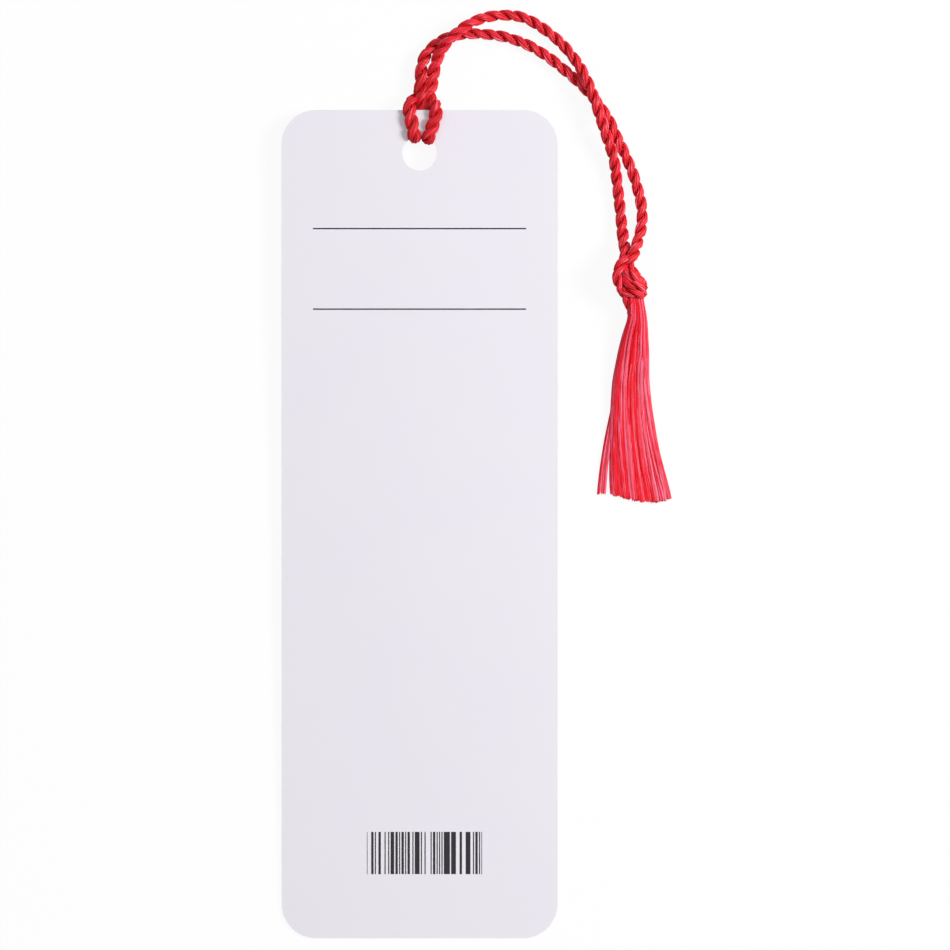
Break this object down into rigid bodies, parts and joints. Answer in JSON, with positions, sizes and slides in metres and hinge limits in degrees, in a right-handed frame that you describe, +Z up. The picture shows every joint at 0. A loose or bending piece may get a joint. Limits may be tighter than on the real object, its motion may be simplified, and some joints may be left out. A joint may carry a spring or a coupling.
{
  "type": "bookmark",
  "caption": "Flat card bookmark with rounded corners and a punched hole, with a looped twisted cord hitched through it that ends in a knotted tassel.",
  "frame": {"origin": "middle of the card at the level of the table that the bookmark lies on", "axes": "+X across the card, +Y along it towards the corded end, +Z up from the face that shows"},
  "size_m": [0.0708, 0.1713, 0.0065],
  "materials": {
    "card_stock": "satin",
    "twisted_cord": "satin",
    "tassel_thread": "satin"
  },
  "bodies": {
    "card": {"card": "card_stock", "cord_hitch": "twisted_cord"},
    "loop": {"left_leg": "twisted_cord", "right_leg": "twisted_cord"},
    "tassel": {"tassel_knot": "twisted_cord", "skirt_ply_1": "tassel_thread", "skirt_ply_2": "tassel_thread", "skirt_ply_3": "tassel_thread", "skirt_ply_4": "tassel_thread"}
  },
  "joints": [
    {"name": "cord_swivel", "type": "hinge", "parent": "card", "child": "loop", "pos_m": [0.00125, 0.08199, 0.002], "axis": [0, 1, 0], "range_deg": [-180, 180]},
    {"name": "tassel_sway", "type": "hinge", "parent": "loop", "child": "tassel", "pos_m": [0.03865, 0.04499, 0.0033], "axis": [0, 0, 1], "range_deg": [-5, 90]}
  ]
}
